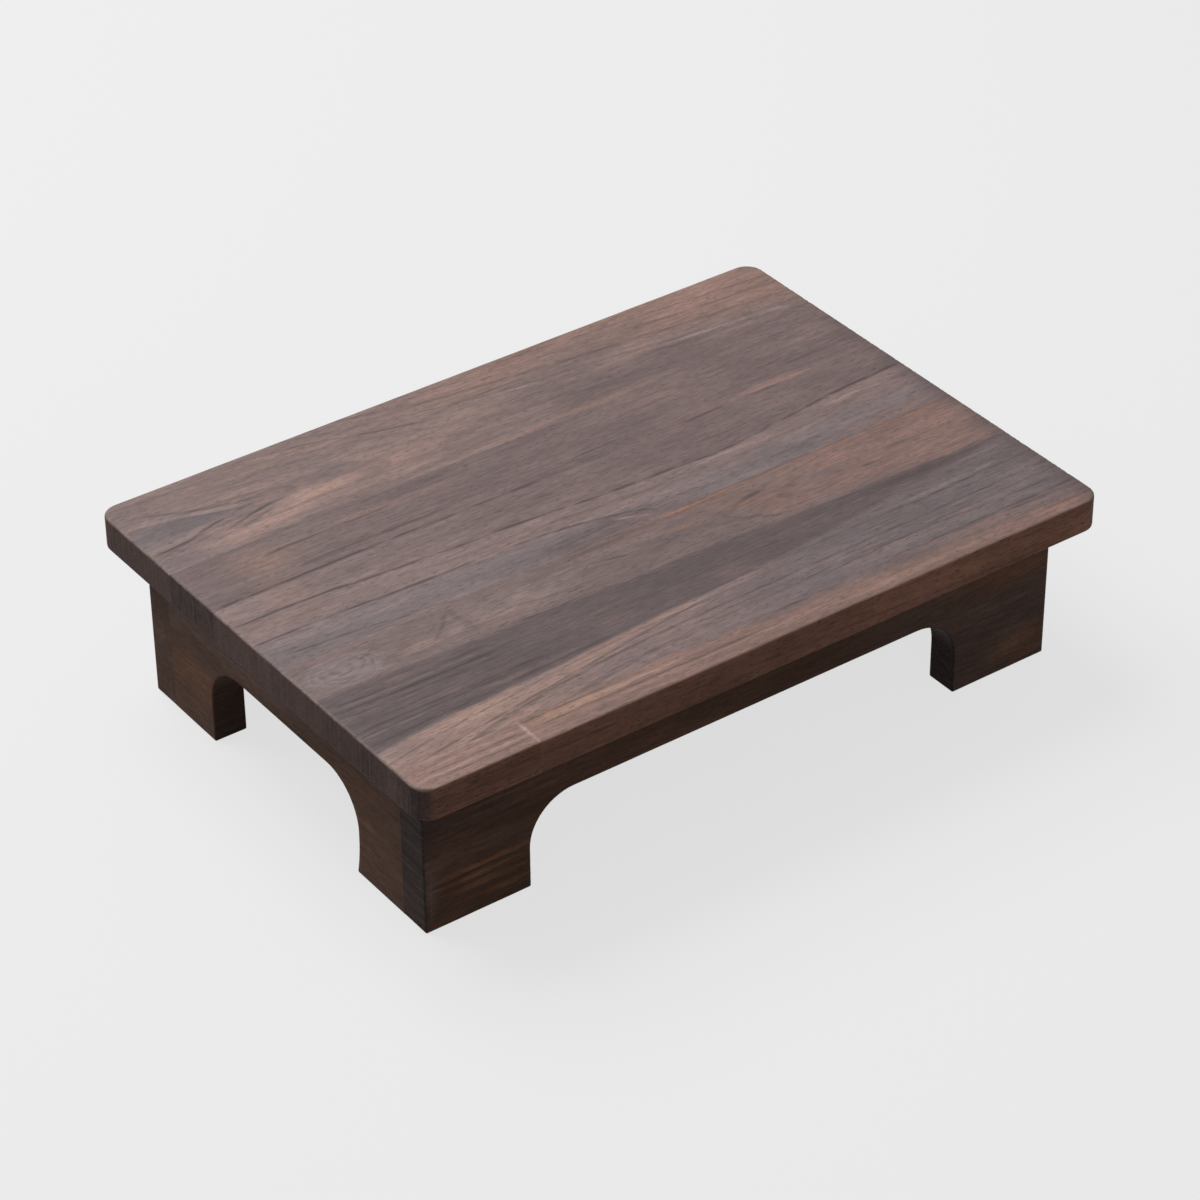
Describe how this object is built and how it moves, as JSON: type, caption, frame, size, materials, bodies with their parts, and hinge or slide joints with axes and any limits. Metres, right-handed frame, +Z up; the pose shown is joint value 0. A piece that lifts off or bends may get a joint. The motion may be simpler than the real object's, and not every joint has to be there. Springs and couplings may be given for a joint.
{
  "type": "low table",
  "caption": "Low rectangular floor table in dark brushed wood: an edge-glued stave top with rounded corners on a base of arched boards with L-shaped corner feet.",
  "frame": {"origin": "on the floor, under the middle of the top", "axes": "+X along the length towards the right end, +Y from the front edge to the back edge, +Z up"},
  "size_m": [0.4, 0.28, 0.1],
  "materials": {
    "top_wood": "wire-brushed, oiled",
    "base_wood": "wire-brushed, oiled",
    "block_wood": "sawn, unfinished",
    "dowel_wood": "turned, unfinished",
    "screw_steel": "zinc plated"
  },
  "bodies": {
    "root": {"back_edge_stave": "top_wood", "stave_2": "top_wood", "stave_3": "top_wood", "stave_4": "top_wood", "stave_5": "top_wood", "front_edge_stave_short": "top_wood", "front_edge_stave_long": "top_wood", "front_rail": "base_wood", "back_rail": "base_wood", "left_end_panel": "base_wood", "right_end_panel": "base_wood", "front_left_corner_block": "block_wood", "front_right_corner_block": "block_wood", "back_left_corner_block": "block_wood", "back_right_corner_block": "block_wood", "front_left_dowels": "dowel_wood", "front_right_dowels": "dowel_wood", "back_left_dowels": "dowel_wood", "back_right_dowels": "dowel_wood", "block_screws": "screw_steel", "top_screws": "screw_steel"}
  },
  "joints": []
}
